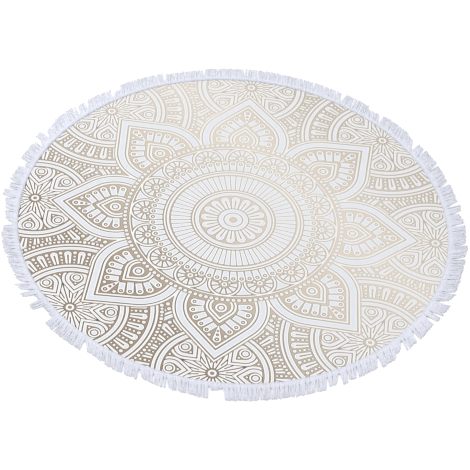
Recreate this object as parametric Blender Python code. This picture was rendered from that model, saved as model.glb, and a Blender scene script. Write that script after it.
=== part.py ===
"""Round beach towel with a fringed trim, laid out flat: Blender 4.5, metres, +Z up.

The towel is two sewn pieces. The cloth is one round sheet with a rolled hem. The trim is one
length of fringe that runs round the cloth and is joined end to end. Its heading tape laps over
the cloth's edge, and its locks of yarn lie on the ground around it, in clumps with notches
between them. The origin is the middle of the cloth's underside, which lies on the plane z = 0.
"""

import math
import random
from typing import NamedTuple

import bmesh
import bpy

# --- Driving dimensions -------------------------------------------------------------------
CLOTH_RADIUS = 0.6905        # middle of the towel to the hem, under the tape
CLOTH_THICKNESS = 0.0024     # pile and ground together
PILE_WAVE = 0.00035          # how far the top face rises and falls
SEWN_GAP = 0.0003            # between the tape and the cloth that it is sewn to

TAPE_INNER_RADIUS = 0.6805   # where the print ends and the tape begins
TAPE_OUTER_RADIUS = 0.7000   # where the locks leave the tape
TAPE_THICKNESS = 0.0013
TAPE_EDGE_THICKNESS = 0.0010
TAPE_OUTER_HEIGHT = 0.0032   # the tape's top, where it comes down off the cloth

LOCK_PITCH = 1.36            # degrees of fringe that one lock takes
LOCK_SLIT = 0.07             # degrees between the roots of two locks
LOCK_BELLY = 0.55            # how far along a lock its middle section lies
LOCK_BELLY_HEIGHT = 0.0030
LOCK_TIP_HEIGHT = 0.0018
LOCK_TIP_WIDTH = 0.86        # of the width at the root
LOCK_UNEVEN = 0.0025         # how far one lock's tip differs from the next
LOCK_SWAY = 0.10             # degrees that a tip swings to one side

COLUMNS = 144                # facets round the cloth and the tape
CLOTH_RINGS = (0.12, 0.28, 0.44, 0.60, 0.76, 0.90)   # of the cloth's radius
HEM_CHAMFER = 0.0007
SEED = 12

# The edge isn't a true circle: waves round the rim, their size, and where the first one peaks.
EDGE_WAVES = ((1, 0.0020, 320.0), (3, 0.0014, 85.0), (4, 0.0012, 5.0), (9, 0.0004, 40.0))
# Slow swells of the pile across the cloth: waves per metre, their heading, and their start.
PILE_SWELLS = ((1.3, 20.0, 40.0), (2.1, 105.0, 200.0), (3.2, 160.0, 310.0))

CLOTH_COLOUR = (0.80, 0.72, 0.63)
TRIM_COLOUR = (0.84, 0.85, 0.92)


class Tuft(NamedTuple):
    """A stretch of fringe that lies as one clump. The space to the next one is a notch."""

    start: float         # degrees round the towel, anticlockwise from +X
    end: float
    reach_start: float   # metres from the towel's middle to the tips
    reach_end: float


TUFTS = (
    Tuft(1.0, 7.5, 0.742, 0.746),
    Tuft(8.1, 9.6, 0.743, 0.742),
    Tuft(10.2, 11.6, 0.738, 0.735),
    Tuft(13.0, 14.8, 0.742, 0.746),
    Tuft(16.0, 22.3, 0.740, 0.742),
    Tuft(23.3, 29.5, 0.738, 0.742),
    Tuft(30.3, 35.6, 0.742, 0.744),
    Tuft(36.6, 38.4, 0.738, 0.740),
    Tuft(39.9, 42.2, 0.730, 0.738),
    Tuft(42.9, 52.2, 0.745, 0.742),
    Tuft(53.0, 56.3, 0.736, 0.732),
    Tuft(57.0, 64.3, 0.745, 0.746),
    Tuft(65.7, 92.5, 0.745, 0.750),
    Tuft(93.3, 103.5, 0.746, 0.746),
    Tuft(104.2, 114.3, 0.740, 0.738),
    Tuft(115.0, 127.4, 0.746, 0.744),
    Tuft(128.2, 129.9, 0.722, 0.720),
    Tuft(130.4, 137.8, 0.738, 0.738),
    Tuft(139.0, 141.2, 0.740, 0.734),
    Tuft(142.2, 149.9, 0.743, 0.742),
    Tuft(150.6, 154.2, 0.738, 0.728),
    Tuft(155.2, 157.2, 0.746, 0.744),
    Tuft(157.7, 158.8, 0.716, 0.714),
    Tuft(159.3, 166.6, 0.734, 0.740),
    Tuft(167.1, 168.5, 0.712, 0.712),
    Tuft(169.0, 174.6, 0.730, 0.736),
    Tuft(175.6, 177.2, 0.730, 0.730),
    Tuft(178.0, 180.1, 0.742, 0.744),
    Tuft(180.8, 183.4, 0.734, 0.728),
    Tuft(184.0, 184.8, 0.730, 0.726),
    Tuft(185.6, 188.9, 0.728, 0.720),
    Tuft(191.2, 192.5, 0.728, 0.732),
    Tuft(193.1, 200.8, 0.738, 0.736),
    Tuft(201.5, 207.5, 0.734, 0.730),
    Tuft(208.1, 210.4, 0.732, 0.726),
    Tuft(211.0, 211.8, 0.742, 0.742),
    Tuft(212.4, 213.4, 0.738, 0.736),
    Tuft(214.2, 215.6, 0.742, 0.742),
    Tuft(216.2, 218.1, 0.707, 0.709),
    Tuft(218.6, 220.7, 0.742, 0.742),
    Tuft(221.2, 224.9, 0.708, 0.710),
    Tuft(225.4, 228.1, 0.740, 0.742),
    Tuft(228.8, 237.3, 0.741, 0.738),
    Tuft(238.4, 243.9, 0.726, 0.732),
    Tuft(244.6, 252.8, 0.738, 0.740),
    Tuft(253.7, 259.9, 0.729, 0.742),
    Tuft(260.8, 270.0, 0.738, 0.750),
    Tuft(270.5, 272.9, 0.718, 0.712),
    Tuft(273.4, 297.1, 0.750, 0.746),
    Tuft(298.0, 300.2, 0.738, 0.736),
    Tuft(301.7, 302.5, 0.745, 0.745),
    Tuft(303.2, 305.3, 0.738, 0.740),
    Tuft(306.0, 311.2, 0.742, 0.738),
    Tuft(312.1, 317.2, 0.745, 0.742),
    Tuft(317.9, 319.5, 0.732, 0.724),
    Tuft(320.2, 324.3, 0.742, 0.740),
    Tuft(325.4, 331.6, 0.742, 0.738),
    Tuft(332.8, 334.2, 0.742, 0.742),
    Tuft(335.2, 339.4, 0.744, 0.748),
    Tuft(340.8, 343.2, 0.736, 0.748),
    Tuft(343.9, 355.3, 0.743, 0.744),
    Tuft(356.2, 360.3, 0.742, 0.750),
)


class Lock(NamedTuple):
    """One lock of yarn: its root's two edges on the tape, and where its tip ends."""

    root: tuple      # two angles in degrees
    tip: tuple
    reach: float


def clear_scene():
    """Remove every object that the file opens with."""
    for item in list(bpy.data.objects):
        bpy.data.objects.remove(item, do_unlink=True)


def make_material(name, colour, roughness, sheen):
    """A Principled material for cloth: no metal, a soft sheen."""
    material = bpy.data.materials.new(name)
    material.use_nodes = True
    shader = material.node_tree.nodes["Principled BSDF"]
    shader.inputs["Base Color"].default_value = (*colour, 1.0)
    shader.inputs["Roughness"].default_value = roughness
    shader.inputs["Metallic"].default_value = 0.0
    shader.inputs["Sheen Weight"].default_value = sheen
    return material


def edge_wander(degrees):
    """How far the rim lies outside its true circle at this angle."""
    return sum(
        size * math.cos(math.radians(waves * (degrees - peak)))
        for waves, size, peak in EDGE_WAVES
    )


def rim_point(degrees, radius, height):
    """A point near the rim, which wanders with it."""
    distance = radius + edge_wander(degrees)
    angle = math.radians(degrees)
    return (distance * math.cos(angle), distance * math.sin(angle), height)


def pile_rise(x, y):
    """How far the top face lies above its mean height: slow crossing swells, none at the rim."""
    swell = sum(
        math.sin(
            math.tau * waves * (x * math.cos(math.radians(way)) + y * math.sin(math.radians(way)))
            + math.radians(start)
        )
        for waves, way, start in PILE_SWELLS
    )
    fade = 1.0 - (math.hypot(x, y) / CLOTH_RADIUS) ** 4
    return PILE_WAVE * swell / len(PILE_SWELLS) * fade


def add_loop(mesh, points):
    """A closed loop of vertices through these points."""
    return [mesh.verts.new(point) for point in points]


def rim_loop(mesh, radius, height, angles):
    """A loop of vertices round the rim at these angles."""
    return add_loop(mesh, [rim_point(angle, radius, height) for angle in angles])


def join_loops(mesh, first, second):
    """A band of four-sided faces between two loops with as many vertices each."""
    for k in range(len(first)):
        after = (k + 1) % len(first)
        mesh.faces.new((first[k], first[after], second[after], second[k]))


def zip_loops(mesh, first, first_angles, second, second_angles):
    """A band of triangles between two loops whose vertices stand at different angles.

    Both lists of angles rise through less than a full turn. Each triangle takes its next
    vertex from the loop that is behind in angle.
    """
    a = b = 0
    while a < len(first) or b < len(second):
        next_a = first_angles[a + 1] if a + 1 < len(first) else first_angles[0] + 360.0
        next_b = second_angles[b + 1] if b + 1 < len(second) else second_angles[0] + 360.0
        here = (first[a % len(first)], second[b % len(second)])
        if b >= len(second) or (a < len(first) and next_a <= next_b):
            mesh.faces.new((here[0], first[(a + 1) % len(first)], here[1]))
            a += 1
        else:
            mesh.faces.new((here[0], second[(b + 1) % len(second)], here[1]))
            b += 1


def finish_object(name, mesh, material, sharp_degrees):
    """Turn a closed mesh's faces outwards and make it a named object."""
    bmesh.ops.recalc_face_normals(mesh, faces=mesh.faces)
    data = bpy.data.meshes.new(name)
    mesh.to_mesh(data)
    mesh.free()
    data.materials.append(material)
    data.shade_smooth()
    data.set_sharp_from_angle(angle=math.radians(sharp_degrees))
    item = bpy.data.objects.new(name, data)
    bpy.context.scene.collection.objects.link(item)
    return item


def make_cloth(material):
    """The round sheet: a flat underside, a rolled hem and a top face with slow swells."""
    mesh = bmesh.new()
    angles = [360.0 * k / COLUMNS for k in range(COLUMNS)]
    inside = CLOTH_RADIUS - HEM_CHAMFER
    underside = rim_loop(mesh, inside, 0.0, angles)
    hem = [
        underside,
        rim_loop(mesh, CLOTH_RADIUS, HEM_CHAMFER, angles),
        rim_loop(mesh, CLOTH_RADIUS, CLOTH_THICKNESS - HEM_CHAMFER, angles),
        rim_loop(mesh, inside, CLOTH_THICKNESS, angles),
    ]
    for lower, upper in zip(hem, hem[1:]):
        join_loops(mesh, lower, upper)

    outer = hem[-1]
    for share in reversed(CLOTH_RINGS):
        points = []
        for angle in angles:
            x, y, _ = rim_point(angle, CLOTH_RADIUS, 0.0)
            x, y = x * share, y * share
            points.append((x, y, CLOTH_THICKNESS + pile_rise(x, y)))
        ring = add_loop(mesh, points)
        join_loops(mesh, outer, ring)
        outer = ring

    top = mesh.verts.new((0.0, 0.0, CLOTH_THICKNESS + pile_rise(0.0, 0.0)))
    bottom = mesh.verts.new((0.0, 0.0, 0.0))
    for k in range(COLUMNS):
        after = (k + 1) % COLUMNS
        mesh.faces.new((outer[k], outer[after], top))
        mesh.faces.new((underside[k], underside[after], bottom))
    return finish_object("towel_cloth", mesh, material, 50.0)


def plan_locks(chance):
    """Share each tuft out into locks that draw in and sway together, so that none cross."""
    locks = []
    for tuft in TUFTS:
        count = max(1, round((tuft.end - tuft.start) / LOCK_PITCH))
        width = (tuft.end - tuft.start) / count
        sway = chance.uniform(-LOCK_SWAY, LOCK_SWAY)
        for k in range(count):
            root = (
                tuft.start + k * width + LOCK_SLIT / 2,
                tuft.start + (k + 1) * width - LOCK_SLIT / 2,
            )
            middle = (root[0] + root[1]) / 2 + sway
            half = (root[1] - root[0]) / 2 * LOCK_TIP_WIDTH
            share = (k + 0.5) / count
            reach = tuft.reach_start + (tuft.reach_end - tuft.reach_start) * share
            reach -= chance.uniform(0.0, LOCK_UNEVEN)
            locks.append(Lock(root, (middle - half, middle + half), reach))
    return locks


def grow_lock(mesh, root_face, lock):
    """Draw a lock out of the tape's outer wall in two steps, to its belly and to its tip."""
    face = root_face
    middle = sum(lock.root) / 2
    root_radius = TAPE_OUTER_RADIUS + edge_wander(middle)
    steps = ((LOCK_BELLY, LOCK_BELLY_HEIGHT), (1.0, LOCK_TIP_HEIGHT))
    for share, height in steps:
        sides = [
            lock.root[side] + (lock.tip[side] - lock.root[side]) * share for side in (0, 1)
        ]
        radius = root_radius + (lock.reach - root_radius) * share
        face = bmesh.ops.extrude_discrete_faces(mesh, faces=[face])["faces"][0]
        for vertex in face.verts:
            turn = math.degrees(math.atan2(vertex.co.y, vertex.co.x)) - middle
            turn = (turn + 180.0) % 360.0 - 180.0
            angle = math.radians(sides[0] if turn < 0.0 else sides[1])
            vertex.co.x = radius * math.cos(angle)
            vertex.co.y = radius * math.sin(angle)
            vertex.co.z = height if vertex.co.z > LOCK_TIP_HEIGHT / 2 else 0.0


def make_trim(material):
    """The heading tape with its locks: one closed ring, lapped over the cloth's edge."""
    mesh = bmesh.new()
    locks = plan_locks(random.Random(SEED))
    even = [360.0 * k / COLUMNS for k in range(COLUMNS)]
    edges = [angle for lock in locks for angle in lock.root]
    seat = CLOTH_THICKNESS + SEWN_GAP
    step_radius = CLOTH_RADIUS + SEWN_GAP

    fold = rim_loop(mesh, step_radius, seat + TAPE_THICKNESS, even)
    inner_top = rim_loop(mesh, TAPE_INNER_RADIUS, seat + TAPE_EDGE_THICKNESS, even)
    inner_low = rim_loop(mesh, TAPE_INNER_RADIUS, seat, even)
    step_top = rim_loop(mesh, step_radius, seat, even)
    step_low = rim_loop(mesh, step_radius, 0.0, even)
    wall_low = rim_loop(mesh, TAPE_OUTER_RADIUS, 0.0, edges)
    wall_top = rim_loop(mesh, TAPE_OUTER_RADIUS, TAPE_OUTER_HEIGHT, edges)

    join_loops(mesh, fold, inner_top)
    join_loops(mesh, inner_top, inner_low)
    join_loops(mesh, inner_low, step_top)
    join_loops(mesh, step_top, step_low)
    zip_loops(mesh, step_low, even, wall_low, edges)
    zip_loops(mesh, fold, even, wall_top, edges)

    roots = []
    for k in range(len(edges)):
        after = (k + 1) % len(edges)
        wall = mesh.faces.new((wall_low[k], wall_low[after], wall_top[after], wall_top[k]))
        if k % 2 == 0:
            roots.append(wall)
    for face, lock in zip(roots, locks):
        grow_lock(mesh, face, lock)
    return finish_object("fringe_trim", mesh, material, 40.0)


def main():
    """Build the two pieces of the towel."""
    clear_scene()
    make_cloth(make_material("printed_cloth", CLOTH_COLOUR, 0.9, 0.3))
    make_trim(make_material("white_yarn", TRIM_COLOUR, 0.85, 0.2))


main()
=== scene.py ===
"""Round beach towel, laid flat on a pale floor: printed cloth, heading tape, stitches and fringe.

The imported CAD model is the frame. Each kind of Part is something that a maker would cut, weave or
sew. The parts stand for the CAD solids, and follow the sizes that the CAD source names too. Lengths
are metres, except in the print, which is laid out in millimetres from the towel's middle.
"""

import logging
import math
from dataclasses import dataclass, field
from enum import Enum

import bpy
import numpy as np
from mathutils import Matrix, Vector


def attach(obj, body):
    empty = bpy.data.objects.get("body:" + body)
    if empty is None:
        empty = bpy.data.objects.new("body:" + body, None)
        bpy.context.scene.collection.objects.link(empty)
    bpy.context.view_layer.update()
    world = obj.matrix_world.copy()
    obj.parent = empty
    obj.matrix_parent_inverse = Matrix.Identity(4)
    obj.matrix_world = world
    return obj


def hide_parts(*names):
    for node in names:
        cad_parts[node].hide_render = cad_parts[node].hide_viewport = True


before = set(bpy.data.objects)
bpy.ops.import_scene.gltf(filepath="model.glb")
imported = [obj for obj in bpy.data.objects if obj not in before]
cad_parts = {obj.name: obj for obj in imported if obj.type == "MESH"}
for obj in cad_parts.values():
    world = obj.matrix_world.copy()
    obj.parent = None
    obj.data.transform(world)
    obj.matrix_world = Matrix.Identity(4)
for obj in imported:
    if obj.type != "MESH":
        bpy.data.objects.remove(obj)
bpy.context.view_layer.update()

LOG = logging.getLogger("towel")
FULL_TURN = 2.0 * math.pi
MILLI = 1000.0
ROOT_TWO = math.sqrt(2.0)
FULL_INK = 9.0
CLOUDS = "Fibre clouds"
MOTTLE_SPREAD = 2.5
FIBRE_SPECULAR = 0.25
SHEEN_ROUGHNESS = 0.5
# Sockets of the Mix node that hold colours. Their names are those of its other sockets too.
FIRST_COLOUR, SECOND_COLOUR, MIXED_COLOUR = 6, 7, 2

Array = np.ndarray
Pair = tuple[float, float]
Colour = tuple[float, float, float]

# --- Sizes that the CAD source names too ---

EDGE_WAVES = ((1, 0.0020, 320.0), (3, 0.0014, 85.0), (4, 0.0012, 5.0), (9, 0.0004, 40.0))
PILE_SWELLS = ((1.3, 20.0, 40.0), (2.1, 105.0, 200.0), (3.2, 160.0, 310.0))
CLOTH_RADIUS = 0.6905
CLOTH_THICKNESS = 0.0024
PILE_WAVE = 0.00035
TAPE_OUTER_RADIUS = 0.7000

# Stretches of fringe that lie as one clump: start and end in degrees round the towel, then how
# far the tips reach from the middle at the start and at the end. The spaces are notches.
TUFTS = (
    (1.0, 7.5, 0.742, 0.746), (8.1, 9.6, 0.743, 0.742), (10.2, 11.6, 0.738, 0.735),
    (13.0, 14.8, 0.742, 0.746), (16.0, 22.3, 0.740, 0.742), (23.3, 29.5, 0.738, 0.742),
    (30.3, 35.6, 0.742, 0.744), (36.6, 38.4, 0.738, 0.740), (39.9, 42.2, 0.730, 0.738),
    (42.9, 52.2, 0.745, 0.742), (53.0, 56.3, 0.736, 0.732), (57.0, 64.3, 0.745, 0.746),
    (65.7, 92.5, 0.745, 0.750), (93.3, 103.5, 0.746, 0.746), (104.2, 114.3, 0.740, 0.738),
    (115.0, 127.4, 0.746, 0.744), (128.2, 129.9, 0.722, 0.720), (130.4, 137.8, 0.738, 0.738),
    (139.0, 141.2, 0.740, 0.734), (142.2, 149.9, 0.743, 0.742), (150.6, 154.2, 0.738, 0.728),
    (155.2, 157.2, 0.746, 0.744), (157.7, 158.8, 0.716, 0.714), (159.3, 166.6, 0.734, 0.740),
    (167.1, 168.5, 0.712, 0.712), (169.0, 174.6, 0.730, 0.736), (175.6, 177.2, 0.730, 0.730),
    (178.0, 180.1, 0.742, 0.744), (180.8, 183.4, 0.734, 0.728), (184.0, 184.8, 0.730, 0.726),
    (185.6, 188.9, 0.728, 0.720), (191.2, 192.5, 0.728, 0.732), (193.1, 200.8, 0.738, 0.736),
    (201.5, 207.5, 0.734, 0.730), (208.1, 210.4, 0.732, 0.726), (211.0, 211.8, 0.742, 0.742),
    (212.4, 213.4, 0.738, 0.736), (214.2, 215.6, 0.742, 0.742), (216.2, 218.1, 0.707, 0.709),
    (218.6, 220.7, 0.742, 0.742), (221.2, 224.9, 0.708, 0.710), (225.4, 228.1, 0.740, 0.742),
    (228.8, 237.3, 0.741, 0.738), (238.4, 243.9, 0.726, 0.732), (244.6, 252.8, 0.738, 0.740),
    (253.7, 259.9, 0.729, 0.742), (260.8, 270.0, 0.738, 0.750), (270.5, 272.9, 0.718, 0.712),
    (273.4, 297.1, 0.750, 0.746), (298.0, 300.2, 0.738, 0.736), (301.7, 302.5, 0.745, 0.745),
    (303.2, 305.3, 0.738, 0.740), (306.0, 311.2, 0.742, 0.738), (312.1, 317.2, 0.745, 0.742),
    (317.9, 319.5, 0.732, 0.724), (320.2, 324.3, 0.742, 0.740), (325.4, 331.6, 0.742, 0.738),
    (332.8, 334.2, 0.742, 0.742), (335.2, 339.4, 0.744, 0.748), (340.8, 343.2, 0.736, 0.748),
    (343.9, 355.3, 0.743, 0.744), (356.2, 360.3, 0.742, 0.750),
)

# Which way the strands lie: an angle round the towel in degrees, and how far a strand drifts
# round the towel there for each unit that it reaches outwards.
LEANS = (
    (0.0, 0.35), (20.0, 0.35), (45.0, 0.55), (60.0, 0.30), (76.0, 0.22), (90.0, 0.08),
    (105.0, -0.20), (120.0, -0.32), (135.0, -0.50), (152.0, -0.50), (168.0, -0.15), (190.0, -0.15),
    (208.0, -0.50), (218.0, -0.10), (228.0, 0.25), (240.0, 0.55), (252.0, 0.40), (262.0, 0.32),
    (276.0, 0.10), (290.0, -0.20), (305.0, -0.40), (320.0, -0.50), (330.0, -0.30), (340.0, 0.35),
)
TIP_REACH = 0.7400


def edge_wander(turn: Array) -> Array:
    """How far the edge lies outside a true circle at an angle: the sum of four cosines round it."""
    return sum(size * np.cos(waves * (turn - math.radians(peak))) for waves, size, peak in EDGE_WAVES)


def pile_rise(x: Array, y: Array) -> Array:
    """Slow swells of the laid cloth: the mean of three sines across it, which die out at the hem.

    Args:
        x: Places on the cloth along X in metres.
        y: Places on the cloth along Y in metres.

    Returns:
        The rise of the top face in metres.
    """
    swell = 0.0
    for waves, heading, start in PILE_SWELLS:
        way = math.radians(heading)
        along = x * math.cos(way) + y * math.sin(way)
        swell = swell + np.sin(FULL_TURN * waves * along + math.radians(start))
    return PILE_WAVE * swell / len(PILE_SWELLS) * (1.0 - (np.hypot(x, y) / CLOTH_RADIUS) ** 4)


# --- Objects and meshes from arrays ---


def add_object(name: str, data: bpy.types.ID) -> bpy.types.Object:
    """Puts data into a new object at the origin and links it to the scene.

    Args:
        name: The object's name.
        data: A mesh, lamp or camera.

    Returns:
        The object.
    """
    made = bpy.data.objects.new(name, data)
    bpy.context.scene.collection.objects.link(made)
    return made


def on_rings(radius: Array, turn: Array, height: "Array | float") -> Array:
    """Points at distances from the towel's middle, angles round it in radians, and heights."""
    radius, turn, height = np.broadcast_arrays(radius, turn, height)
    return np.stack([radius * np.cos(turn), radius * np.sin(turn), height], -1)


def grid_faces(rows: int, columns: int) -> Array:
    """Quads of a grid that closes on itself along its columns.

    Args:
        rows: Count of point rows.
        columns: Count of points in a row.

    Returns:
        One row of four point numbers for each quad.
    """
    row, column = np.meshgrid(np.arange(rows - 1), np.arange(columns), indexing="ij")
    after = (column + 1) % columns
    low, high = row * columns, (row + 1) * columns
    return np.stack([low + column, low + after, high + after, high + column], -1).reshape(-1, 4)


def build_mesh(name: str, points: Array, faces: list[Array]) -> bpy.types.Object:
    """Puts arrays of points and faces into a new smooth object at the origin.

    Args:
        name: The piece's name.
        points: One row of X, Y and Z for each point.
        faces: Arrays of point numbers, one array for each count of corners.

    Returns:
        The new object.
    """
    mesh = bpy.data.meshes.new(name)
    loops = np.concatenate([part.ravel() for part in faces]).astype(np.int32)
    sizes = np.concatenate([np.full(len(part), part.shape[1]) for part in faces])
    starts = np.concatenate([[0], np.cumsum(sizes)[:-1]]).astype(np.int32)
    mesh.vertices.add(len(points))
    mesh.loops.add(len(loops))
    mesh.polygons.add(len(sizes))
    mesh.vertices.foreach_set("co", np.asarray(points, np.float32).ravel())
    mesh.loops.foreach_set("vertex_index", loops)
    mesh.polygons.foreach_set("loop_start", starts)
    mesh.polygons.foreach_set("use_smooth", np.ones(len(sizes), bool))
    mesh.update(calc_edges=True)
    mesh.validate()
    return add_object(name, mesh)


def give_uv(piece: bpy.types.Object, name: str, corners: Array) -> None:
    """Adds a UV map from one row of U and V for each face corner."""
    layer = piece.data.uv_layers.new(name=name)
    layer.data.foreach_set("uv", np.asarray(corners, np.float32).ravel())


def build_tubes(name: str, line: Array, width: "Array | float",
                sides: int) -> bpy.types.Object:
    """Builds closed tubes round many lines at once.

    At each point of a line, a ring of points lies at the tube's radius from it, on the level
    sideways direction and on the direction square to that and to the line. In the UV map, U runs
    once round a tube and V along it, in metres.

    Args:
        name: The piece's name.
        line: Points of each line: line, step, X Y Z.
        width: The tube's radius at each of them.
        sides: How many sides a tube has.

    Returns:
        The piece.
    """
    count, steps, _ = line.shape
    ahead = np.gradient(line, axis=1)
    ahead /= np.linalg.norm(ahead, axis=-1, keepdims=True)
    beside = np.cross(np.array([0.0, 0.0, 1.0]), ahead)
    beside /= np.linalg.norm(beside, axis=-1, keepdims=True)
    above = np.cross(ahead, beside)
    turn = np.arange(sides) * FULL_TURN / sides + math.pi / 2.0
    ring = beside[:, :, None] * np.cos(turn)[:, None] + above[:, :, None] * np.sin(turn)[:, None]
    points = line[:, :, None] + ring * np.broadcast_to(width, (count, steps))[:, :, None, None]
    starts = np.arange(count)[:, None, None] * steps * sides
    quads = grid_faces(steps, sides) + starts
    first = np.arange(sides)
    ends = np.stack([first[::-1], first + (steps - 1) * sides]) + starts
    piece = build_mesh(name, points.reshape(-1, 3), [quads.reshape(-1, 4), ends.reshape(-1, sides)])
    hops = np.linalg.norm(np.diff(line, axis=1), axis=-1)
    along = np.concatenate([np.zeros((count, 1)), np.cumsum(hops, axis=1)], axis=1)
    row, column = np.divmod(np.arange((steps - 1) * sides), sides)
    v = along[:, np.stack([row, row, row + 1, row + 1], -1)]
    u = np.broadcast_to(np.stack([column, column + 1, column + 1, column], -1) / sides, v.shape)
    v_end = np.repeat(along[:, [0, -1]][:, :, None], sides, axis=2)
    u_end = np.broadcast_to(first / sides, v_end.shape)
    charts = [np.stack(pair, -1).reshape(-1, 2) for pair in ((u, v), (u_end, v_end))]
    give_uv(piece, "Twist", np.concatenate(charts))
    return piece


# --- Arithmetic written as shader nodes ---


@dataclass(frozen=True)
class Value:
    """A number or colour that changes over the surface. Sums with it are written as Math nodes."""

    socket: bpy.types.NodeSocket

    def add(self, kind: str, output: "str | int", terms: dict, **settings: object) -> "Value":
        """Adds a node to the tree that this belongs to, as add_node does."""
        return add_node(self.socket.id_data, kind, output, terms, **settings)

    def math(self, operation: str, *others: "Value | float") -> "Value":
        """A Math node's result from this, and from the second and third terms."""
        return self.add("Math", 0, dict(enumerate((self, *others))), operation=operation)

    def __add__(self, other: "Value | float") -> "Value":
        """The sum."""
        return self.math("ADD", other)

    def __sub__(self, other: "Value | float") -> "Value":
        """The difference."""
        return self.math("SUBTRACT", other)

    def __rsub__(self, other: float) -> "Value":
        """A plain number less this one."""
        return self.math("MULTIPLY_ADD", -1.0, other)

    def __mul__(self, other: "Value | float") -> "Value":
        """The product."""
        return self.math("MULTIPLY", other)

    def __abs__(self) -> "Value":
        """The size without its sign."""
        return self.math("ABSOLUTE")

    def __or__(self, other: "Value | float") -> "Value":
        """The union of two shapes, which are below zero inside: the lesser."""
        return self.math("MINIMUM", other)

    def __and__(self, other: "Value | float") -> "Value":
        """The overlap of two shapes, which are below zero inside: the greater."""
        return self.math("MAXIMUM", other)

    def less_than(self, other: "Value | float") -> "Value":
        """One where this is below the other, and zero elsewhere."""
        return self.math("LESS_THAN", other)

    def scaled(self, factor: "Value | float", offset: "Value | float") -> "Value":
        """This times a factor plus an offset, as one node."""
        return self.math("MULTIPLY_ADD", factor, offset)

    def mixed(self, other: "Value", share: "Value") -> "Value":
        """This where the share is zero, and the other where it is one."""
        return (other - self).scaled(share, self)

    def split(self) -> "list[Value]":
        """The three parts of this vector."""
        first = self.add("SeparateXYZ", 0, {0: self})
        return [Value(part) for part in first.socket.node.outputs]

    def between(self, low: float, high: float, kind: str = "LINEAR") -> "Value":
        """How far this is on the way from one number to another, held between zero and one."""
        terms = {"Value": self, "From Min": low, "From Max": high}
        return self.add("MapRange", "Result", terms, interpolation_type=kind)

    def blend(self, first: "Value | Colour", second: "Value | Colour") -> "Value":
        """A mix of two colours, where this is the share of the second."""
        terms = {"Factor": self, FIRST_COLOUR: first, SECOND_COLOUR: second}
        return self.add("Mix", MIXED_COLOUR, terms, data_type="RGBA")

    def ramp(self, stops: tuple) -> "Value":
        """A colour ramp, on which this is the place.

        Args:
            stops: Pairs of place and linear colour.

        Returns:
            The colour.
        """
        made = self.add("ValToRGB", "Color", {"Fac": self})
        elements = made.socket.node.color_ramp.elements
        while len(elements) < len(stops):
            elements.new(0.5)
        for element, (place, colour) in zip(elements, stops):
            element.position = place
            element.color = (*colour, 1.0)
        return made


def feed(node: bpy.types.Node, terms: dict) -> None:
    """Fills a node's inputs.

    Args:
        node: The node.
        terms: For an input's name or number, the Value to link, the number or the linear colour.
    """
    for key, term in terms.items():
        if isinstance(term, Value):
            node.id_data.links.new(term.socket, node.inputs[key])
        else:
            node.inputs[key].default_value = (*term, 1.0) if isinstance(term, tuple) else term


def add_node(tree: bpy.types.NodeTree, kind: str, output: "str | int", terms: dict,
             **settings: object) -> Value:
    """Adds a shader node.

    Args:
        tree: The tree that gets it.
        kind: The node's type, without the prefix that all of them share.
        output: The name or number of the output that is used.
        terms: What its inputs get, as feed takes it.
        settings: Its own properties.

    Returns:
        That output.
    """
    node = tree.nodes.new("ShaderNode" + kind)
    for key, value in settings.items():
        setattr(node, key, value)
    feed(node, terms)
    return Value(node.outputs[output])


def distance(u: Value, v: Value) -> Value:
    """The root of u squared plus v squared."""
    return v.scaled(v, u * u).math("SQRT")


def polar(radius: Value, angle: Value) -> tuple[Value, Value]:
    """The place along and across, from a distance and an angle."""
    return radius * angle.math("COSINE"), radius * angle.math("SINE")


def band(place: Value, low: float, high: float) -> Value:
    """A strip or ring, below zero where the place is between low and high."""
    return abs(place - (low + high) / 2.0) - (high - low) / 2.0


def bands(place: Value, edges: tuple) -> list[Value]:
    """A strip or ring for each pair of edges."""
    return [band(place, low, high) for low, high in edges]


def bead(u: Value, v: Value, centre: Pair, radius: float) -> Value:
    """A round spot, below zero inside its radius from a centre."""
    across = v - centre[1] if centre[1] else v
    return distance(u - centre[0], across) - radius


def gap_bead(u: Value, v: Value, count: int, spot: Pair) -> Value:
    """A spot of some distance out and radius, on the line between two of the repeats that go round."""
    lean = math.pi / count
    return bead(u, v, (spot[0] * math.cos(lean), spot[0] * math.sin(lean)), spot[1])


def drop(u: Value, v: Value, tip: float) -> Value:
    """Size of the drop shape that passes through a point.

    A drop is a circle with a corner towards plus u. On axes square to and along its straight
    side, s = u sin(tip) + v cos(tip) and t = u cos(tip) - v sin(tip), its size is the length of
    (s, t where t is below zero).

    Args:
        u: Place along the drop, from its round end's centre towards its tip.
        v: Place across the drop, never below zero.
        tip: Half the corner's angle in degrees.

    Returns:
        The round end's radius.
    """
    lean, rise = math.sin(math.radians(tip)), math.cos(math.radians(tip))
    s = u.scaled(lean, v * rise)
    t = u.scaled(rise, v * -lean) | 0.0
    return distance(s, t)


@dataclass(frozen=True)
class Tongue:
    """A long spot with straight sides that open outwards, closed by a circle."""

    base: float
    neck: float
    width: float
    slope: float
    end: float

    def lay(self, u: Value, v: Value) -> Value:
        """Lays the tongue along u.

        Args:
            u: Place along it.
            v: Place across it, never below zero.

        Returns:
            A shape, below zero inside.
        """
        side = v - u.scaled(self.slope, self.width - self.base * self.slope)
        body = side & band(u, self.base, self.neck)
        return body | bead(u, v, (self.neck, 0.0), self.end) if self.end else body


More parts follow.
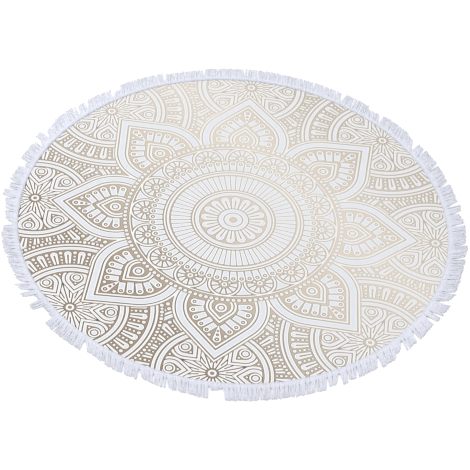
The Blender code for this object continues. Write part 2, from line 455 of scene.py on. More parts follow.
@dataclass
class Drawing:
    """A two-colour drawing, kept as one number: below zero is bare cloth, above zero is ink."""

    field: "Value | float" = FULL_INK

    def bare(self, *shapes: Value) -> "Drawing":
        """Leaves the cloth bare inside shapes.

        Args:
            shapes: The shapes, below zero inside.

        Returns:
            This drawing.
        """
        for shape in shapes:
            self.field = shape | self.field
        return self

    def ink(self, *shapes: Value) -> "Drawing":
        """Prints inside shapes.

        Args:
            shapes: The shapes, below zero inside.

        Returns:
            This drawing.
        """
        for shape in shapes:
            self.field = (shape * -1.0) & self.field
        return self


@dataclass
class Round:
    """Places round a centre, by distance and angle, and the folds that repeat a motif there."""

    radius: Value
    turn: Value

    def fold(self, count: int, half_step: bool = False) -> tuple[Value, Value]:
        """The place along and across one of count mirrored sectors, or between two of them."""
        angle = self.turn.math("PINGPONG", math.pi / count)
        return polar(self.radius, math.pi / count - angle if half_step else angle)


# --- The print, in millimetres ---


@dataclass(frozen=True)
class CentrePrint:
    """The round middle: a ringed dot, a rosette, rays, a ring of tongues and a ring of wheels."""

    edge: float = 356.0
    bare_rings: tuple = ((13.0, 28.0), (32.0, 47.5), (110.0, 122.5), (127.0, 132.0),
                         (206.0, 213.5), (218.0, 223.0), (330.0, 334.0))
    rosette_count: int = 16
    rosette: Tongue = Tongue(base=51.0, neck=90.0, width=8.3, slope=0.146, end=13.9)
    rosette_vein: Tongue = Tongue(base=51.0, neck=88.0, width=1.3, slope=0.030, end=0.0)
    ray_ring: Pair = (137.0, 200.0)
    ray_line: float = 1.4
    fine_count: int = 64
    tongue: Tongue = Tongue(base=227.5, neck=259.0, width=8.8, slope=0.080, end=11.3)
    tongue_centre: float = 258.0
    tongue_ring: Pair = (3.0, 7.0)
    wheel_centre: float = 283.5
    wheel_inner: float = 270.0
    wheel_outer: float = 324.5
    wheel_rings: tuple = ((4.0, 9.3), (44.2, 50.3))
    wheel_reach: float = 54.2
    spoke_ring: Pair = (18.0, 39.6)
    spoke_gap: float = 2.3
    spoke_start: float = -7.0
    spoke_count: int = 12
    wheel_bead: tuple = ((-9.6, 14.7), 4.4)
    bead_count: int = 128
    rim_bead: tuple = ((347.5, 0.0), 6.0)

    def draw(self, place: Round) -> Value:
        """Draws the middle.

        Args:
            place: Distance and angle from the towel's middle.

        Returns:
            The drawing's number.
        """
        r = place.radius
        made = Drawing().bare(*bands(r, self.bare_rings))
        u, v = place.fold(self.rosette_count)
        made.bare(self.rosette.lay(u, v)).ink(self.rosette_vein.lay(u, v))
        made.bare(*self.wheel(u, v, r))
        u, v = place.fold(self.fine_count)
        made.bare(self.tongue.lay(u, v))
        made.ink(band(distance(u - self.tongue_centre, v), *self.tongue_ring))
        _, v = place.fold(self.fine_count, half_step=True)
        made.bare(band(r, *self.ray_ring) & (self.ray_line - v))
        return made.bare(bead(*place.fold(self.bead_count), *self.rim_bead)).field

    def wheel(self, u: Value, v: Value, r: Value) -> list[Value]:
        """One spoked wheel, of which the outer half shows, and the corner beside it.

        Args:
            u: Place along the sector's middle.
            v: Place across it.
            r: Distance from the towel's middle.

        Returns:
            The bare shapes.
        """
        along = u - self.wheel_centre
        reach = distance(along, v)
        _, gap = Round(reach, v.math("ARCTAN2", along)).fold(self.spoke_count, half_step=True)
        inside = self.wheel_inner - r
        spoke = band(reach, *self.spoke_ring) & (self.spoke_gap - gap) & (self.spoke_start - along)
        corner = (self.wheel_reach - reach) & band(r, self.wheel_inner, self.wheel_outer)
        rings = [ring & inside for ring in bands(reach, self.wheel_rings)]
        return [spoke, *rings, corner, bead(along, v, *self.wheel_bead)]


@dataclass(frozen=True)
class PetalPrint:
    """One of the eight great petals: nested drop outlines round an eye, tongues and a leaf."""

    count: int = 8
    edge: float = 152.5
    centre: float = 382.0
    tip: float = 42.5
    lines: tuple = ((105.5, 112.5), (116.8, 138.5), (142.3, 149.0))
    lid_centre: float = 376.0
    lids: tuple = ((30.0, 37.0), (41.0, 47.5))
    eye_centre: float = 382.0
    eye_ring: Pair = (12.0, 18.5)
    pupil: float = 8.0
    tongues: tuple = (
        ((371.5, 51.5), (368.5, 83.0), 12.2), ((392.0, 52.0), (401.5, 84.0), 12.2),
        ((413.5, 42.0), (431.0, 71.5), 12.0), ((431.0, 24.5), (455.0, 53.0), 11.7),
        ((451.5, 10.0), (476.0, 34.5), 11.2),
    )
    tongue_base: float = 10.2
    tongue_flare: float = 0.94
    tongue_ring: Pair = (2.7, 6.4)
    leaf: Tongue = Tongue(base=455.0, neck=510.0, width=1.0, slope=0.235, end=13.6)
    leaf_rings: tuple = ((511.0, 3.0, 7.0), (492.5, 1.6, 5.0), (477.5, 0.0, 3.8))
    side_bead: tuple = ((495.5, 25.0), 5.8)

    def draw(self, u: Value, v: Value, outer: Value) -> Value:
        """Draws the petal.

        Args:
            u: Place along the petal.
            v: Place across it, never below zero.
            outer: The size of the petal's outer drop there.

        Returns:
            The drawing's number.
        """
        lid = drop(u - self.lid_centre, v, self.tip)
        made = Drawing().bare(*bands(outer, self.lines), *bands(lid, self.lids))
        eye = distance(u - self.eye_centre, v)
        made.bare(band(eye, *self.eye_ring), eye - self.pupil)
        for base, end, width in self.tongues:
            made.bare(self.tongue(u, v, base, end, width))
            made.ink(band(distance(u - end[0], v - end[1]), *self.tongue_ring))
        made.bare(self.leaf.lay(u, v), bead(u, v, *self.side_bead))
        for place, inner, rim in self.leaf_rings:
            made.ink(band(distance(u - place, v), inner, rim))
        return made.field

    def tongue(self, u: Value, v: Value, base: Pair, end: Pair, width: float) -> Value:
        """A tongue from a base to the centre of its round end, on axes turned along it.

        Args:
            u: Place along the petal.
            v: Place across the petal.
            base: Where the tongue starts.
            end: The centre of its round end.
            width: The round end's radius.

        Returns:
            A shape, below zero inside.
        """
        run, rise = end[0] - base[0], end[1] - base[1]
        length = math.hypot(run, rise)
        run, rise = run / length, rise / length
        along = u.scaled(run, v.scaled(rise, -(base[0] * run + base[1] * rise)))
        across = abs(v.scaled(run, u.scaled(-rise, base[0] * rise - base[1] * run)))
        slope = (width * self.tongue_flare - self.tongue_base) / length
        return Tongue(0.0, length, self.tongue_base, slope, width).lay(along, across)


@dataclass(frozen=True)
class StarPrint:
    """A star disc at the towel's edge: a rayed star, eyes in drops, and arcs round them."""

    count: int = 8
    heart_ring: Pair = (5.8, 13.8)
    star_valley: float = 55.0
    star_lean: float = 44.4
    ray_start: float = 19.6
    ray_line: float = 1.6
    ray_count: int = 16
    vein_start: float = 40.0
    vein_line: float = 1.4
    fine_count: int = 32
    drop_centre: float = 124.0
    drop_tip: float = 43.5
    drop_line: Pair = (37.1, 46.0)
    lid_tip: float = 39.6
    lid_line: Pair = (22.0, 34.2)
    eye_centre: float = 126.5
    eye_ring: Pair = (12.9, 18.9)
    pupil: float = 9.9
    tip_bead: tuple = ((101.0, 0.0), 4.1)
    gap_spot: Pair = (142.0, 4.2)
    inner_edge: float = 146.5
    arcs: tuple = ((152.0, 166.0), (170.3, 180.3), (245.0, 257.8), (262.0, 270.0))
    tongue: Tongue = Tongue(base=184.5, neck=226.5, width=8.3, slope=0.088, end=12.3)
    tongue_vein: Tongue = Tongue(base=184.0, neck=221.0, width=1.0, slope=0.038, end=2.4)
    bead_column: tuple = ((188.8, 3.6), (201.4, 4.8), (215.2, 4.4), (231.5, 6.4))
    bead_row: tuple = ((280.5, 6.0), (280.5, 4.6))
    bead_row_count: int = 64
    edge: float = 289.5

    def draw(self, place: Round) -> Value:
        """Draws the disc.

        Args:
            place: Distance from the disc's centre, and angle from the way to the towel's middle.

        Returns:
            The drawing's number.
        """
        reach = place.radius
        made = Drawing().bare(band(reach, *self.heart_ring))
        u, v = place.fold(self.count)
        lean = math.radians(self.star_lean)
        star = (u - self.star_valley) * math.sin(lean) - v * math.cos(lean)
        _, line = place.fold(self.ray_count)
        _, vein = place.fold(self.ray_count, half_step=True)
        made.bare(star & (self.ray_start - reach) & (self.ray_line - line))
        made.ink((vein - self.vein_line) & (self.vein_start - reach) & star)
        outer, inner = (drop(self.drop_centre - u, v, tip) for tip in (self.drop_tip, self.lid_tip))
        low, high = self.lid_line
        made.bare(band(outer, *self.drop_line), (outer - high) & (low - inner))
        eye = distance(u - self.eye_centre, v)
        made.ink((eye - self.eye_ring[1]) & (self.pupil - eye))
        made.bare(band(eye, *self.eye_ring), eye - self.pupil, bead(u, v, *self.tip_bead))
        made.bare(gap_bead(u, v, self.count, self.gap_spot)).ink(self.inner_edge - reach)
        made.bare(*bands(reach, self.arcs))
        u, v = place.fold(self.fine_count)
        made.bare(self.tongue.lay(u, v)).ink(self.tongue_vein.lay(u, v))
        u, v = place.fold(self.fine_count, half_step=True)
        made.bare(*(bead(u, v, (at, 0.0), size) for at, size in self.bead_column))
        for half_step, (at, size) in enumerate(self.bead_row):
            u, v = place.fold(self.bead_row_count, half_step=bool(half_step))
            made.bare(bead(u, v, (at, 0.0), size))
        return made.field


@dataclass(frozen=True)
class TowelPrint:
    """The whole print: star discs at the edge, petals over them, and the round middle on top."""

    middle: CentrePrint = CentrePrint()
    petal: PetalPrint = PetalPrint()
    star: StarPrint = StarPrint()
    star_pairs: int = 4
    side_star: Pair = (645.0, 1.004)
    corner_star: Pair = (643.8, 1.000)
    gap_spot: Pair = (424.0, 6.5)
    pulls: tuple = (
        (0, 0, -2.0, 0.0), (1, 0, -8.0, 0.0), (0, 1, -2.5, 7.0), (2, 0, 13.0, -6.5),
        (1, 1, 0.0, 9.5), (1, 2, 38.0, 0.0), (2, 1, 0.0, -48.0),
    )

    def pulled(self, x: Value, y: Value) -> tuple[Value, Value]:
        """Takes the pull of the laid cloth off a place, so that the print bends a little with it.

        Each pull is a power of X, a power of Y, and the shift in millimetres along X and along Y
        where both are one metre. A place is moved back by the sum of the pulls there.

        Args:
            x: Place on the cloth along X in millimetres.
            y: Place on the cloth along Y in millimetres.

        Returns:
            The place on the print.
        """
        u, v = x, y
        far_x, far_y = x * (1.0 / MILLI), y * (1.0 / MILLI)
        for power_x, power_y, shift_x, shift_y in self.pulls:
            term = None
            for far in (far_x,) * power_x + (far_y,) * power_y:
                term = term * far if term else far
            if shift_x:
                u = term.scaled(-shift_x, u) if term else u - shift_x
            if shift_y:
                v = term.scaled(-shift_y, v) if term else v - shift_y
        return u, v

    def group(self) -> bpy.types.NodeTree:
        """Builds the node group that turns a place on the cloth into the print's number.

        Returns:
            The group, with inputs X and Y and output Field, all in millimetres.
        """
        tree, places, sink = new_group("Towel print", ("X", "Y"), "Field")
        x, y = self.pulled(*places)
        here = Round(distance(x, y), y.math("ARCTAN2", x))
        eighth = math.pi / self.star_pairs
        fold = here.turn.math("PINGPONG", eighth)
        other = eighth - fold
        side_centre, side_size = self.side_star
        corner_centre, corner_size = self.corner_star
        along, across = polar(here.radius, other)
        on_corner = distance(along - corner_centre, across).less_than(self.star.edge * corner_size)
        along, across = polar(here.radius, fold.mixed(other, on_corner))
        along = on_corner.scaled(corner_centre - side_centre, side_centre) - along
        shrink = on_corner.scaled(1.0 / corner_size - 1.0 / side_size, 1.0 / side_size)
        near = Round(distance(along, across) * shrink, across.math("ARCTAN2", along))
        off_star = self.star.edge - near.radius
        made = Drawing(self.star.draw(near)).ink(off_star)
        u, v = here.fold(self.petal.count)
        made.bare(gap_bead(u, v, self.petal.count, self.gap_spot) & off_star)
        outer = drop(u - self.petal.centre, v, self.petal.tip)
        petal = self.petal.draw(u, v, outer)
        field_now = made.field.mixed(petal, outer.less_than(self.petal.edge))
        middle = self.middle.draw(here)
        feed(sink, {"Field": field_now.mixed(middle, here.radius.less_than(self.middle.edge))})
        return tree


# --- Node groups and finishes ---


def new_group(name: str, inputs: tuple[str, ...],
              output: str) -> tuple[bpy.types.NodeTree, list[Value], bpy.types.Node]:
    """Starts a shader node group with plain number sockets.

    Args:
        name: The group's name.
        inputs: Names of its inputs.
        output: Name of its output.

    Returns:
        The tree, what its inputs give, and its output node.
    """
    tree = bpy.data.node_groups.new(name, "ShaderNodeTree")
    for label in inputs:
        tree.interface.new_socket(name=label, in_out="INPUT", socket_type="NodeSocketFloat")
    tree.interface.new_socket(name=output, in_out="OUTPUT", socket_type="NodeSocketFloat")
    source = tree.nodes.new("NodeGroupInput")
    return tree, [Value(source.outputs[label]) for label in inputs], tree.nodes.new("NodeGroupOutput")


def cloud_group() -> bpy.types.NodeTree:
    """Builds, once, the node group for uneven yarn, pile and floor: noise, spread about one half.

    Returns:
        The group, with inputs Scale, Detail and Spread and output Clouds, from zero to one.
    """
    if CLOUDS in bpy.data.node_groups:
        return bpy.data.node_groups[CLOUDS]
    tree, (scale, detail, spread), sink = new_group(CLOUDS, ("Scale", "Detail", "Spread"), "Clouds")
    where = add_node(tree, "TexCoord", "Object", {})
    noise = where.add("TexNoise", "Fac", {"Vector": where, "Scale": scale, "Detail": detail})
    clouds = (noise - 0.5).scaled(spread, 0.5)
    feed(sink, {"Clouds": (clouds & 0.0) | 1.0})
    return tree


class Material:
    """A node material in the making, with the few moves that every finish here shares."""

    def __init__(self, name: str, roughness: float, sheen: float) -> None:
        """Makes the material and sets the constants on its shader.

        Args:
            name: The material's name.
            roughness: The shader's roughness.
            sheen: The weight of the short fibres' sheen.
        """
        self.data = bpy.data.materials.new(name)
        self.data.use_nodes = True
        self.shader = next(n for n in self.data.node_tree.nodes if n.type == "BSDF_PRINCIPLED")
        feed(self.shader, {"Roughness": roughness, "Specular IOR Level": FIBRE_SPECULAR,
                           "Sheen Weight": sheen, "Sheen Roughness": SHEEN_ROUGHNESS})

    def add(self, kind: str, output: str, terms: dict, **settings: object) -> Value:
        """Adds a node to the material, as add_node does."""
        return add_node(self.data.node_tree, kind, output, terms, **settings)

    def noise(self, scale: float, detail: float = 2.0, spread: float = 1.0) -> Value:
        """Clouds from zero to one: so many per metre, with finer octaves, spread about one half."""
        terms = {"Scale": scale, "Detail": detail, "Spread": spread}
        return self.add("Group", "Clouds", terms, node_tree=cloud_group())

    def bump(self, height: Value, depth: float, strength: float = 1.0) -> None:
        """Feeds a height from zero to one into the shader's normal, with its depth in metres."""
        terms = {"Height": height, "Distance": depth, "Strength": strength}
        feed(self.shader, {"Normal": self.add("Bump", "Normal", terms)})


@dataclass(frozen=True)
class PrintedTowelling:
    """Smooth short pile, white, with one ink whose colour goes from pale gold to brown along a
    diagonal across the towel.

    The ink is greyer along its edges than inside, and it has spread a little more towards the
    towel's edge. The bare cloth beside it is a little warm.
    """

    printed: TowelPrint = TowelPrint()
    white: Colour = (0.668, 0.692, 0.738)
    shade: Colour = (0.640, 0.662, 0.708)
    beside_stops: tuple = ((0.40, (0.815, 0.772, 0.712)), (0.72, (0.965, 0.926, 0.872)))
    fill_stops: tuple = (
        (0.08, (0.505, 0.446, 0.374)), (0.30, (0.655, 0.586, 0.508)),
        (0.50, (0.596, 0.522, 0.430)), (0.66, (0.486, 0.420, 0.338)),
        (0.82, (0.338, 0.260, 0.194)),
    )
    edge_stops: tuple = (
        (0.10, (0.305, 0.289, 0.276)), (0.32, (0.448, 0.438, 0.426)),
        (0.50, (0.300, 0.294, 0.292)), (0.66, (0.108, 0.106, 0.113)),
        (0.82, (0.016, 0.016, 0.020)),
    )
    gradient_reach: float = 0.70
    spread_reach: Pair = (0.44, 0.54)
    spread: float = 0.50
    edge_depth: Pair = (1.0, 2.3)
    tint_depth: Pair = (-3.9, -0.8)
    softness: float = 0.50
    fray: float = 0.45
    bare_roughness: float = 0.95
    inked_roughness: float = 0.85

    def make(self) -> bpy.types.Material:
        """Makes the material.

        Returns:
            The material.
        """
        made = Material("Printed towelling", roughness=self.bare_roughness, sheen=0.12)
        x, y, z = made.add("TexCoord", "Object", {}).split()
        layout = {"X": x * MILLI, "Y": y * MILLI}
        printed = made.add("Group", "Field", layout, node_tree=self.printed.group())
        pile = made.noise(scale=620.0, detail=3.0)
        printed = printed + distance(x, y).between(*self.spread_reach, "SMOOTHSTEP") * self.spread
        frayed = printed + (pile - 0.5) * (2.0 * self.fray)
        mask = frayed.between(-self.softness, self.softness, "SMOOTHSTEP")
        mask = mask * z.math("GREATER_THAN", CLOTH_THICKNESS / 2.0)
        # The ink's colour follows this diagonal: brown towards the lower left, palest a little in from
        # the upper right, and a little darker again at the upper-right rim.
        diagonal = (x + y) * (-1.0 / ROOT_TWO)
        place = diagonal.between(-self.gradient_reach, self.gradient_reach)
        inside = printed.between(*self.edge_depth, "SMOOTHSTEP")
        ink = inside.blend(place.ramp(self.edge_stops), place.ramp(self.fill_stops))
        mottle = made.noise(scale=55.0, detail=4.0, spread=MOTTLE_SPREAD)
        white = mottle.blend(self.shade, self.white)
        cloth = printed.between(*self.tint_depth).blend(white, place.ramp(self.beside_stops))
        roughness = mask.scaled(self.inked_roughness - self.bare_roughness, self.bare_roughness)
        feed(made.shader, {"Base Color": mask.blend(cloth, ink), "Roughness": roughness})
        made.bump(pile, depth=0.00035, strength=0.6)
        return made.data


@dataclass(frozen=True)
class WhiteYarn:
    """White cotton, slightly blue, whose twist shows as slanting ridges.

    A piece has so many ridges for each metre of V along it. For each unit of U round it, a ridge
    slants by so many turns. The depth is the ridges' height in metres.
    """

    name: str
    ridges: float
    slant: float
    depth: float
    # These default tones are painted light: paler than the tape's white, though both are one cotton,
    # to make up for the shade between the fringe's strands.
    white: Colour = (0.764, 0.781, 0.860)
    shade: Colour = (0.719, 0.735, 0.813)
    ridge_share: float = 0.8
    fuzz_share: float = 0.4

    def make(self) -> bpy.types.Material:
        """Makes the material.

        Returns:
            The material.
        """
        made = Material(self.name, roughness=0.9, sheen=0.15)
        round_it, along, _ = made.add("UVMap", "UV", {}, uv_map="Twist").split()
        phase = (along * self.ridges + round_it * self.slant) * FULL_TURN
        ridge = phase.math("SINE").scaled(0.5, 0.5)
        fuzz = made.noise(scale=900.0)
        mottle = made.noise(scale=130.0, detail=3.0, spread=MOTTLE_SPREAD)
        feed(made.shader, {"Base Color": mottle.blend(self.shade, self.white)})
        made.bump(ridge.scaled(self.ridge_share, fuzz * self.fuzz_share), depth=self.depth)
        return made.data


@dataclass(frozen=True)
class PaleFloor:
    """A plain matt white floor, with a faint cloudiness so that it isn't one flat colour."""

    colour: Colour = (0.92, 0.92, 0.92)
    cloud_share: float = 0.99

    def make(self) -> bpy.types.Material:
        """Makes the material.

        Returns:
            The material.
        """
        made = Material("Pale floor", roughness=0.8, sheen=0.0)
        cloudy = tuple(part * self.cloud_share for part in self.colour)
        cloud = made.noise(scale=3.0, spread=MOTTLE_SPREAD)
        feed(made.shader, {"Base Color": cloud.blend(cloudy, self.colour)})
        return made.data


# --- The parts of the towel ---


@dataclass
class Part:
    """A part of the towel. Each kind of part builds its pieces in its own way."""

    pieces: list[bpy.types.Object] = field(default_factory=list, init=False)

    def dress(self, material: bpy.types.Material) -> None:
        """Gives each piece the material."""
        for piece in self.pieces:
            piece.data.materials.append(material)


@dataclass
class Cloth(Part):
    """The printed round cloth with its turned hem, one closed thin sheet."""

    rings: int = 96
    under_rings: int = 24
    columns: int = 288
    hem_round: float = 0.0009
    hem_steps: int = 5
    flat_size: float = 1.38
    chart_radius: float = 0.49
    small_radius: float = 0.075
    small_step: float = 0.006
    small_middle: float = 0.082

    def build(self) -> None:
        """Builds the sheet.

        Top: a point at share s of the rim's radius and angle a, raised by the pile's swells.
        Hem: a half-round profile carried round the rim. Underside: the same disc at zero height.
        """
        turn = np.arange(self.columns) * FULL_TURN / self.columns
        edge = CLOTH_RADIUS + edge_wander(turn)
        inner = 1.0 - self.hem_round / CLOTH_RADIUS
        top = on_rings(np.linspace(0.0, inner, self.rings + 1)[1:, None] * edge, turn, CLOTH_THICKNESS)
        top[..., 2] += pile_rise(top[..., 0], top[..., 1])
        bend = np.linspace(math.pi / 2.0, -math.pi / 2.0, self.hem_steps + 2)[1:-1, None]
        hem = on_rings(edge - self.hem_round * (1.0 - np.cos(bend)), turn,
                       CLOTH_THICKNESS / 2.0 * (1.0 + np.sin(bend)))
        under = on_rings(np.linspace(inner, 0.0, self.under_rings + 1)[:-1, None] * edge, turn, 0.0)
        rows = np.concatenate([top, hem, under])
        count = rows.shape[0] * self.columns
        middles = [[0.0, 0.0, CLOTH_THICKNESS + pile_rise(0.0, 0.0)], [0.0, 0.0, 0.0]]
        points = np.concatenate([rows.reshape(-1, 3), middles])
        quads = grid_faces(len(rows), self.columns)[:, ::-1]
        here = np.arange(self.columns)
        after = (here + 1) % self.columns
        last = count - self.columns
        fans = [np.stack([here, after, np.full(self.columns, count)], -1),
                np.stack([last + after, last + here, np.full(self.columns, count + 1)], -1)]
        self.pieces.append(build_mesh("printed_cloth", points, [quads, *fans]))
        self.chart(points, quads, fans)

    def chart(self, points: Array, quads: Array, fans: list[Array]) -> None:
        """Charts the sheet: the printed face fills the square, the plain rest fits its corners.

        Top: half plus chart_radius times the place over the rim's radius. Underside: the same,
        mirrored and small, in the lower left corner. Hem: a ring in the lower right corner.

        Args:
            points: Every point of the sheet, row by row, and then its two middles.
            quads: The quads, row by row.
            fans: The triangles at the top's middle, and those at the underside's.
        """
        flat = points[:, :2] / np.hypot(points[:, 0], points[:, 1]).max()
        top = 0.5 + self.chart_radius * flat
        under = self.small_middle + self.small_radius * (flat * [1.0, -1.0])
        row, column = np.divmod(np.arange(len(points)), self.columns)
        turn = column * FULL_TURN / self.columns
        inward = (self.small_radius - self.small_step * (row - self.rings + 1))[:, None]
        way = np.stack([np.cos(turn), -np.sin(turn)], -1)
        hem = [1.0 - self.small_middle, self.small_middle] + inward * way
        face_row = np.repeat(row[:len(quads)], 4)[:, None]
        corners = quads.ravel()
        rest = np.where(face_row < self.rings + self.hem_steps, hem[corners], under[corners])
        sides = np.where(face_row < self.rings - 1, top[corners], rest)
        fan_charts = [top[fans[0].ravel()], under[fans[1].ravel()]]
        give_uv(self.pieces[0], "OFBake", np.concatenate([sides, *fan_charts]))


@dataclass
class HeadingTape(Part):
    """The woven tape that the fringe hangs from, lapped over the cloth's edge."""

    columns: int = 1440
    rib_length: float = 0.0016
    profile: tuple = (
        (0.6805, 0.0030), (0.6812, 0.0036), (0.6850, 0.0038), (0.6895, 0.0039), (0.6912, 0.0038),
        (0.6930, 0.0036), (0.6960, 0.0033), (0.6990, 0.0030), (0.7002, 0.0025), (0.7004, 0.0014),
        (0.7000, 0.0002), (0.6980, 0.0000), (0.6925, 0.0000), (0.6912, 0.0006), (0.6910, 0.0022),
        (0.6900, 0.0027), (0.6850, 0.0027), (0.6812, 0.0027),
    )

    def build(self) -> None:
        """Carries the tape's closed profile of radius and height round the wandering rim.

        In the UV map, U runs across the profile and V along the tape, in metres.
        """
        turn = np.arange(self.columns) * FULL_TURN / self.columns
        radius, height = np.array(self.profile).T[..., None]
        points = on_rings(radius + edge_wander(turn), turn, height).reshape(-1, 3)
        rows = len(self.profile)
        faces = grid_faces(rows + 1, self.columns)[:, ::-1] % len(points)
        self.pieces.append(build_mesh("heading_tape", points, [faces]))
        row, column = np.divmod(np.arange(len(faces)), self.columns)
        u = np.stack([row + 1, row + 1, row, row], -1) / rows
        v = np.stack([column, column + 1, column + 1, column], -1) / self.columns
        length = FULL_TURN * TAPE_OUTER_RADIUS
        give_uv(self.pieces[0], "Twist", np.stack([u, v * length], -1).reshape(-1, 2))


class Row(Enum):
    """The two rows of stitches that hold the tape, by their radius in metres."""

    INNER = 0.6835
    OUTER = 0.6870


@dataclass
class Stitching(Part):
    """Two rows of machine stitches, each a short bent thread that dips between the yarns."""

    pitch: float = 0.0035
    length: float = 0.0028
    thickness: float = 0.00055
    height: float = 0.0046
    rise: float = 0.00035
    dip: float = 1.8
    steps: int = 5
    sides: int = 4

    def build(self) -> None:
        """Builds both rows. Each stitch is a four-sided tube along a low arch.

        At share s from minus a half to a half, the arch lies at its rise times one less the dip
        times twice s, squared.
        """
        places = []
        for row in Row:
            count = round(FULL_TURN * row.value / self.pitch)
            turn = (np.arange(count) + 0.5 * (row is Row.OUTER)) * FULL_TURN / count
            places.append(np.stack([turn, np.full(count, row.value)], -1))
        turn, radius = np.concatenate(places).T[..., None]
        share = np.linspace(-0.5, 0.5, self.steps)
        angle = turn + share * self.length / radius
        arch = self.rise * (1.0 - self.dip * (2.0 * share) ** 2)
        line = on_rings(radius + edge_wander(angle), angle, self.height + arch)
        self.pieces.append(build_tubes("tape_stitches", line, self.thickness / 2.0, self.sides))


def smooth(share: Array) -> Array:
    """Eases from zero to one with level ends: 3 s squared less 2 s cubed, clamped."""
    share = np.clip(share, 0.0, 1.0)
    return share * share * (3.0 - 2.0 * share)


@dataclass
class Fringe(Part):
    """Twisted strands of cut yarn that leave the tape side by side and lie level on the floor."""

    strands: int = 692
    yarns: int = 8
    quarters: int = 4
    steps: int = 11
    sides: int = 5
    root_radius: float = 0.6818
    drop_start: float = 0.6975
    drop_end: float = 0.7110
    root_height: float = 0.0036
    tape_height: float = 0.0039
    rise_length: float = 0.006
    rest_height: float = 0.0017
    yarn_radius: float = 0.00088
    yarn_sizes: Pair = (0.88, 1.1)
    strand_half_width: float = 0.0024
    strand_half_height: float = 0.0007
    root_half_width: float = 0.0026
    twist: Pair = (0.7, 1.1)
    tip_height: float = 0.0006
    tip_fall_power: int = 5
    tip_taper: float = 0.45
    taper_power: int = 4
    slenderness: Pair = (0.85, 1.13)
    sway: float = 0.12
    bend: float = 0.0011
    lift: float = 0.0004
    unevenness: float = 0.0045
    fray: float = 0.0020
    floor_gap: float = 0.00003
    seed: int = 7

    def build(self) -> None:
        """Builds the fringe, one piece for each quarter of the towel."""
        line, width = self.wind()
        middle = np.arctan2(line[:, 0, 1], line[:, 0, 0]) % FULL_TURN
        quarter = (middle / (FULL_TURN / self.quarters)).astype(int)
        for k in range(self.quarters):
            mine = quarter == k
            name = f"fringe_yarns_{k + 1}"
            self.pieces.append(build_tubes(name, line[mine], width[mine], self.sides))

    def tips(self, chance: np.random.Generator) -> tuple[Array, ...]:
        """Places both ends of each strand.

        Each tuft takes the strands between the middles of the notches beside it and spreads their
        tips over its own width. A strand's root lies back from its tip by the lean there.

        Args:
            chance: The source of chance.

        Returns:
            Root angle, tip angle and tip distance from the towel's middle, for each strand.
        """
        tufts = np.array(TUFTS)
        notch = (np.roll(tufts[:, 0], -1) - tufts[:, 1]) % 360.0
        low = tufts[:, 0] - np.roll(notch, 1) / 2.0
        high = tufts[:, 1] + notch / 2.0
        slot = low[0] + (np.arange(self.strands) + 0.5) * 360.0 / self.strands
        mine = np.searchsorted(low, slot, side="right") - 1
        share = (slot - low[mine]) / (high[mine] - low[mine])
        start, end, reach_start, reach_end = tufts[mine].T
        tip = start + (end - start) * share + chance.normal(0.0, self.sway, self.strands)
        reach = reach_start + (reach_end - reach_start) * share
        reach -= chance.uniform(0.0, self.unevenness, self.strands)
        where, lean = np.array(LEANS).T
        drift = np.interp(slot, where, lean, period=360.0) * (TIP_REACH - self.root_radius)
        root = slot - np.degrees(drift / TAPE_OUTER_RADIUS)
        return np.radians(root), np.radians(tip), reach

    def wind(self) -> tuple[Array, Array]:
        """Works out how each yarn lies.

        A strand's middle runs from root to tip with a slight bend, level over the tape and then
        down to the floor. Round it each yarn winds on a flat oval: sideways by half the strand's
        width times the cosine of its turn, and up by half its height times the sine. On the tape
        the oval is wider and pressed flat, so that the yarns lie side by side.

        Returns:
            The points of each yarn's line, and its radius at each.
        """
        chance = np.random.default_rng(self.seed)
        root, tip, reach = (ends[:, None, None] for ends in self.tips(chance))
        each, every = (self.strands, 1, 1), (self.strands, self.yarns, 1)
        share = np.linspace(0.0, 1.0, self.steps)
        begin = self.root_radius + edge_wander(root)
        end = reach - np.abs(chance.normal(0.0, self.fray, every))
        radius = begin + (end - begin) * share
        bend = chance.normal(0.0, self.bend, each) * np.sin(math.pi * share)
        past = radius - begin
        freed = smooth(past / (self.drop_end - self.root_radius))
        rise = smooth(past / self.rise_length)
        on_tape = self.root_height + (self.tape_height - self.root_height) * rise
        rest = self.rest_height + chance.uniform(0.0, self.lift, each)
        fallen = past + self.root_radius - self.drop_start
        height = on_tape + (rest - on_tape) * smooth(fallen / (self.drop_end - self.drop_start))
        start = np.arange(self.yarns)[:, None] / self.yarns + chance.uniform(0.0, 1.0, each)
        turn = FULL_TURN * (start + chance.uniform(*self.twist, each) * share)
        free_width = self.strand_half_width * chance.uniform(*self.slenderness, each)
        half_width = self.root_half_width + (free_width - self.root_half_width) * freed
        angle = root + (tip - root) * share + (bend + half_width * np.cos(turn)) / radius
        height = height + self.strand_half_height * freed * np.sin(turn)
        height = height + (self.tip_height - height) * share ** self.tip_fall_power
        taper = 1.0 - self.tip_taper * share ** self.taper_power
        width = self.yarn_radius * chance.uniform(*self.yarn_sizes, every) * taper
        line = on_rings(radius, angle, np.maximum(height, width + self.floor_gap))
        return line.reshape(-1, self.steps, 3), width.reshape(-1, self.steps)


# --- The studio and the whole scene ---


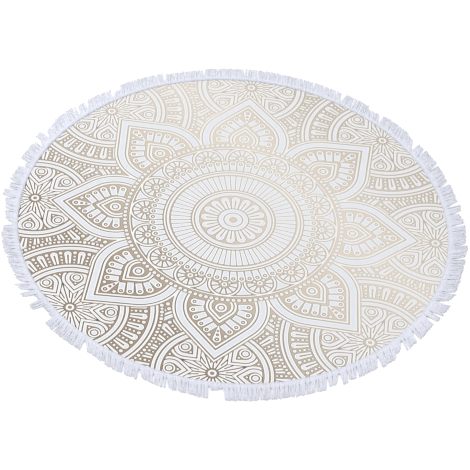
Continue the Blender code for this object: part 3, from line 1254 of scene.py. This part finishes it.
@dataclass
class Studio:
    """The pale floor, the soft light and the camera."""

    floor_size: float = 24.0
    floor_drop: float = 0.0002
    sky: Colour = (1.0, 1.0, 1.0)
    sky_strength: float = 0.93
    lamp_size: float = 6.0
    lamp_place: tuple[float, float, float] = (-3.6, 2.0, 6.8)
    lamp_power: float = 235.0
    azimuth: float = 2.02
    elevation: float = 44.9
    roll: float = 5.04
    away: float = 6.121
    sideways: float = 0.00364
    upwards: float = -0.0482
    focal_pixels: float = 1926.9
    frame_pixels: float = 470.0
    sensor: float = 36.0
    clip_end: float = 100.0

    def build(self) -> None:
        """Lays the floor, hangs the lights and sets the camera."""
        corners = np.array([[-0.5, -0.5], [0.5, -0.5], [0.5, 0.5], [-0.5, 0.5]]) * self.floor_size
        points = np.column_stack([corners, np.full(len(corners), -self.floor_drop)])
        floor = build_mesh("floor", points, [np.arange(len(corners))[None]])
        floor.data.materials.append(PaleFloor().make())
        self.light()
        self.aim()
        bpy.context.scene.view_settings.view_transform = "Standard"

    def light(self) -> None:
        """Makes the sky white and hangs one large soft lamp."""
        world = bpy.data.worlds.new("Studio white")
        world.use_nodes = True
        sky = next(n for n in world.node_tree.nodes if n.type == "BACKGROUND")
        feed(sky, {"Color": self.sky, "Strength": self.sky_strength})
        bpy.context.scene.world = world
        data = bpy.data.lights.new("Soft lamp", "AREA")
        data.size = self.lamp_size
        data.energy = self.lamp_power
        lamp = add_object("Soft lamp", data)
        lamp.location = self.lamp_place
        lamp.rotation_euler = (-Vector(self.lamp_place)).to_track_quat("-Z", "Y").to_euler()

    def aim(self) -> None:
        """Sets the camera from its azimuth, elevation, roll and distance."""
        azimuth, elevation = math.radians(self.azimuth), math.radians(self.elevation)
        back = Vector((math.sin(azimuth) * math.cos(elevation),
                       -math.cos(azimuth) * math.cos(elevation), math.sin(elevation)))
        level = Vector((math.cos(azimuth), math.sin(azimuth), 0.0))
        raised = back.cross(level)
        roll = math.radians(self.roll)
        right = level * math.cos(roll) + raised * math.sin(roll)
        up = raised * math.cos(roll) - level * math.sin(roll)
        place = back * self.away + right * self.sideways + up * self.upwards
        place.z += CLOTH_THICKNESS
        data = bpy.data.cameras.new("View")
        data.sensor_width = self.sensor
        data.lens = self.sensor * self.focal_pixels / self.frame_pixels
        data.clip_end = self.clip_end
        camera = add_object("View", data)
        turn = Matrix((right, up, back)).transposed()
        camera.matrix_world = Matrix.Translation(place) @ turn.to_4x4()
        bpy.context.scene.camera = camera


def main() -> None:
    """Builds and dresses the pieces in order, ties each to the root body, and hides the CAD parts that
    they stand for.
    """
    logging.basicConfig(level=logging.INFO, format="%(message)s")
    Studio().build()
    cloth, tape, stitches, fringe = Cloth(), HeadingTape(), Stitching(), Fringe()
    # The tape is the fringe's own cotton; its darker whites are painted shade, which evens the flat,
    # fully lit tape with the shaded strands beside it.
    weave = WhiteYarn("Heading tape weave", ridges=1.0 / tape.rib_length, slant=0.0, depth=0.00025,
                      white=(0.670, 0.688, 0.758), shade=(0.630, 0.648, 0.716))
    thread = WhiteYarn("Stitching thread", ridges=1400.0, slant=1.0, depth=0.00006)
    yarn = WhiteYarn("Fringe yarn", ridges=330.0, slant=2.0, depth=0.0002)
    finishes = (PrintedTowelling(), weave, thread, yarn)
    for part, finish in zip((cloth, tape, stitches, fringe), finishes):
        part.build()
        part.dress(finish.make())
    sheet = cloth.pieces[0]
    trim = [*tape.pieces, *stitches.pieces, *fringe.pieces]
    for piece in (sheet, *trim):
        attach(piece, "root")
        LOG.info("%s: %d faces", piece.name, len(piece.data.polygons))
    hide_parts("towel_cloth")
    for piece in trim:
        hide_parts("fringe_trim")


if __name__ == "__main__":
    main()
